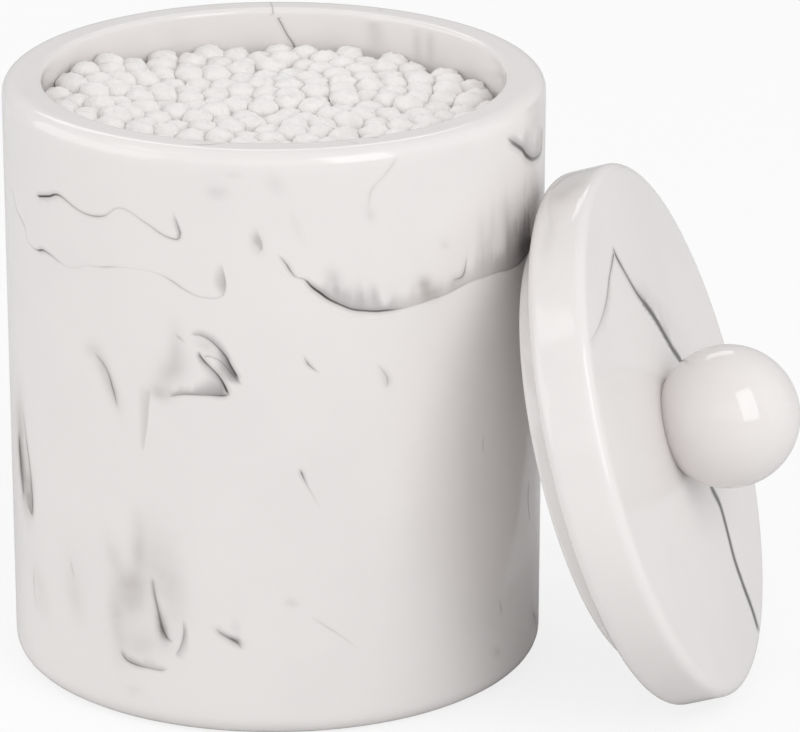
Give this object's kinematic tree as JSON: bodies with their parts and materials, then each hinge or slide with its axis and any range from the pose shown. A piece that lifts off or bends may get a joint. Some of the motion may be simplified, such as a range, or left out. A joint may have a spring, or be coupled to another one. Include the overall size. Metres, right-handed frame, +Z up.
{
  "type": "cotton swab holder",
  "caption": "Round cast jar filled with upright cotton swabs, with a thick plugged lid and a ball knob leaning against its side.",
  "frame": {"origin": "middle of the jar's flat base, on the surface that it stands on", "axes": "+Z up along the jar's axis, +X towards the leaning lid, -Y towards the viewer of the picture"},
  "size_m": [0.1196, 0.1004, 0.0914],
  "materials": {
    "marbled_resin": "polished white cast resin with grey and black ink veins",
    "marbled_resin_lid": "polished white cast resin with grey and black ink veins",
    "white_resin": "polished plain white cast resin",
    "paper_stick": "rolled white paper, matt",
    "cotton": "bleached cotton wool, wound and pressed, matt"
  },
  "bodies": {
    "root": {"jar": "marbled_resin", "lid": "marbled_resin_lid", "knob": "white_resin", "swab_sticks": "paper_stick", "cotton_tips_upper": "cotton", "cotton_tips_lower": "cotton"}
  },
  "joints": []
}
